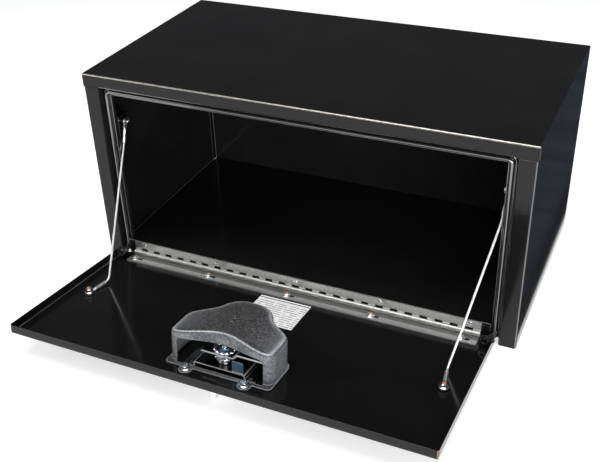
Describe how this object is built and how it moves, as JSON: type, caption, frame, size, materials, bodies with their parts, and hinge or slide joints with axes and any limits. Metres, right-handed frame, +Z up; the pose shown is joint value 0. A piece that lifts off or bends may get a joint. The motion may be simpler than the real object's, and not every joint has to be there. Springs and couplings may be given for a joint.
{
  "type": "truck tool box",
  "caption": "Underbody truck tool box: folded black steel body with a bottom-hinged drop door held by wire cables, edge seal, covered turn latch and outside T-handle.",
  "frame": {"origin": "centre of the body's bottom face", "axes": "+X along the hinge, to the right of someone facing the open front; +Y from the front to the back; +Z up. The door opens towards -Y."},
  "size_m": [0.762, 0.7217, 0.3556],
  "materials": {
    "black_coat": "gloss black powder coat",
    "cover_plastic": "fine-textured moulded plastic",
    "seal_rubber": "extruded rubber, slight sheen",
    "hinge_steel": "galvanised, speckled",
    "zinc_plate": "bright zinc plate",
    "black_oxide": "black oxide steel",
    "copper_stud": "copper-flashed weld stud",
    "wire_rope": "laid steel wire",
    "crimped_steel": "swaged sleeve, satin",
    "spring_steel": "drawn wire, zinc plated",
    "chrome_handle": "polished plate",
    "label_film": "white printed film"
  },
  "bodies": {
    "box": {"top_panel": "black_coat", "left_side_panel": "black_coat", "right_side_panel": "black_coat", "back_panel": "black_coat", "bottom_panel": "black_coat", "left_cable_bracket": "black_coat", "right_cable_bracket": "black_coat", "upper_studs": "zinc_plate", "upper_nuts": "zinc_plate", "left_upper_terminal": "crimped_steel", "right_upper_terminal": "crimped_steel", "left_cable": "wire_rope", "right_cable": "wire_rope", "door_seal": "seal_rubber", "left_seal_tail": "seal_rubber", "right_seal_tail": "seal_rubber", "hinge_fixed_leaf": "hinge_steel", "hinge_rivets": "zinc_plate", "hinge_pin": "hinge_steel"},
    "door": {"hinge_door_leaf": "hinge_steel", "door_panel": "black_coat", "hinge_studs": "copper_stud", "hinge_nuts": "zinc_plate", "lower_studs": "copper_stud", "lower_nuts": "zinc_plate", "left_lower_terminal": "crimped_steel", "right_lower_terminal": "crimped_steel", "label": "label_film", "latch_cover": "cover_plastic", "cover_studs": "zinc_plate", "cover_nuts": "zinc_plate", "escutcheon": "chrome_handle", "escutcheon_gasket": "seal_rubber", "latch_bracket": "zinc_plate", "bracket_nuts": "black_oxide"},
    "handle": {"t_handle": "chrome_handle", "handle_pin": "zinc_plate", "latch_shaft": "zinc_plate", "latch_spring": "spring_steel", "spring_seat": "zinc_plate", "latch_cam": "zinc_plate", "cup_washer": "zinc_plate", "cam_nut": "zinc_plate"},
    "key": {"key_plug": "chrome_handle"}
  },
  "joints": [
    {"name": "door_hinge", "type": "hinge", "parent": "box", "child": "door", "pos_m": [0, -0.2041, 0.0136], "axis": [-1, 0, 0], "range_deg": [0, 83], "deforming": ["left_cable", "right_cable", "left_seal_tail", "right_seal_tail"]},
    {"name": "latch_turn", "type": "hinge", "parent": "door", "child": "handle", "pos_m": [0, -0.45287, 0.03891], "axis": [0, -0.1219, -0.9925], "range_deg": [0, 90]},
    {"name": "key_turn", "type": "hinge", "parent": "handle", "child": "key", "pos_m": [0, -0.45287, 0.03891], "axis": [0, -0.1219, -0.9925], "range_deg": [0, 90]}
  ]
}
